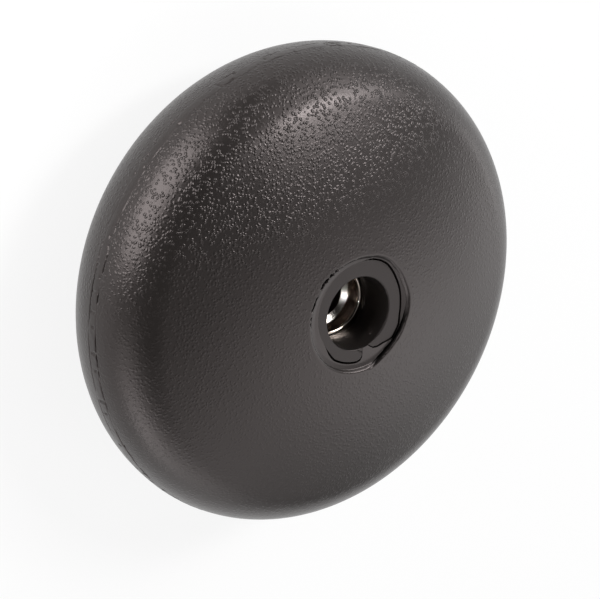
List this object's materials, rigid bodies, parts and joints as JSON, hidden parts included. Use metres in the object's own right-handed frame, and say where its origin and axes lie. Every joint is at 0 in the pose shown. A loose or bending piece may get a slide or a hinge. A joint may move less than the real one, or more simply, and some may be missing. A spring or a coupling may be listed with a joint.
{
  "type": "grained disc knob with threaded bush",
  "caption": "Black grained plastic disc knob, domed on both sides, with a blind bore that leads to a threaded metal bush moulded into its centre.",
  "frame": {"origin": "middle of the small gate flat at the lowest point of the domed back, on the knob's axis", "axes": "+Z along the bore, out of its mouth; the tongue that crosses the ring lies between +X and +Y"},
  "size_m": [0.065, 0.065, 0.0271],
  "materials": {
    "grained_plastic": "fine moulded pebble grain, satin sheen on the crowns",
    "hub_plastic": "smooth moulded black, fine satin",
    "plated_steel": "nickel plated, turned and polished"
  },
  "bodies": {
    "root": {"grip_body": "grained_plastic", "hub_sleeve": "hub_plastic", "threaded_bush": "plated_steel"}
  },
  "joints": []
}
